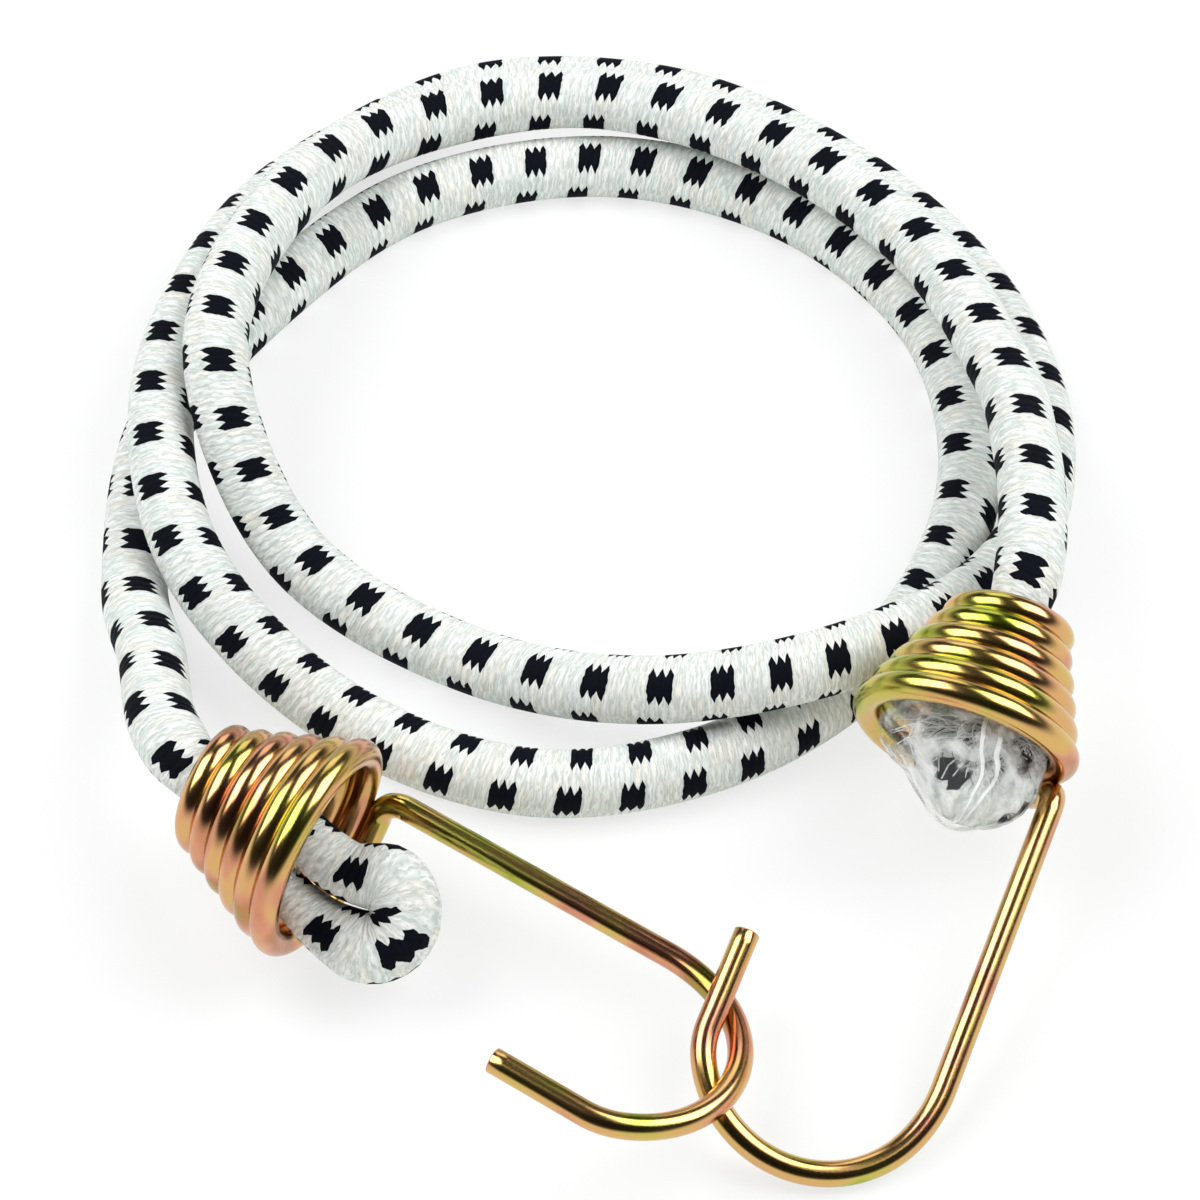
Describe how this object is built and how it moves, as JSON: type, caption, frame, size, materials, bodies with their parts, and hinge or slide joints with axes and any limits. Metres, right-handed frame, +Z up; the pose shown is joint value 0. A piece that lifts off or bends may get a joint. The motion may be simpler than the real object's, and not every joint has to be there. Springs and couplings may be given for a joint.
{
  "type": "bungee cord",
  "caption": "Woven rubber-cored cord lying in loops, each folded end held in a conical winding of steel wire that runs on into a hook; the hooks are linked.",
  "frame": {"origin": "on the ground, under the middle of the box round the two wire hooks", "axes": "+Z up, square to the ground; +X from the left hook's winding towards the right hook's; +Y away from the camera, towards the looped cord"},
  "size_m": [0.1193, 0.1709, 0.0294],
  "materials": {
    "wire": "yellow-zinc-plated bright wire",
    "cover": "tightly woven bright white yarn with rows of near-black checks",
    "core": "matte natural rubber",
    "tape": "clear glossy film"
  },
  "bodies": {
    "cord": {"woven_cover": "cover", "rubber_thread_1": "core", "rubber_thread_2": "core", "rubber_thread_3": "core", "rubber_thread_4": "core", "rubber_thread_5": "core", "rubber_thread_6": "core", "rubber_thread_7": "core", "rubber_thread_8": "core", "rubber_thread_9": "core", "rubber_thread_10": "core", "rubber_thread_11": "core", "rubber_thread_12": "core", "rubber_thread_13": "core", "rubber_thread_14": "core", "left_end_tape": "tape", "right_end_tape": "tape"},
    "left_hook": {"left_wire_hook": "wire"},
    "right_hook": {"right_wire_hook": "wire"}
  },
  "joints": [
    {"name": "left_swivel", "type": "hinge", "parent": "cord", "child": "left_hook", "pos_m": [-0.0342, 0.0035, 0.0132], "axis": [0.8559, -0.5082, -0.0958], "range_deg": [-24, 0]},
    {"name": "right_swivel", "type": "hinge", "parent": "cord", "child": "right_hook", "pos_m": [0.0382, 0.0161, 0.0169], "axis": [-0.3739, -0.8851, -0.2773], "range_deg": [0, 6]}
  ],
  "couplings": [
    {"joint": "right_swivel", "follows": "left_swivel", "ratio": -0.25}
  ]
}
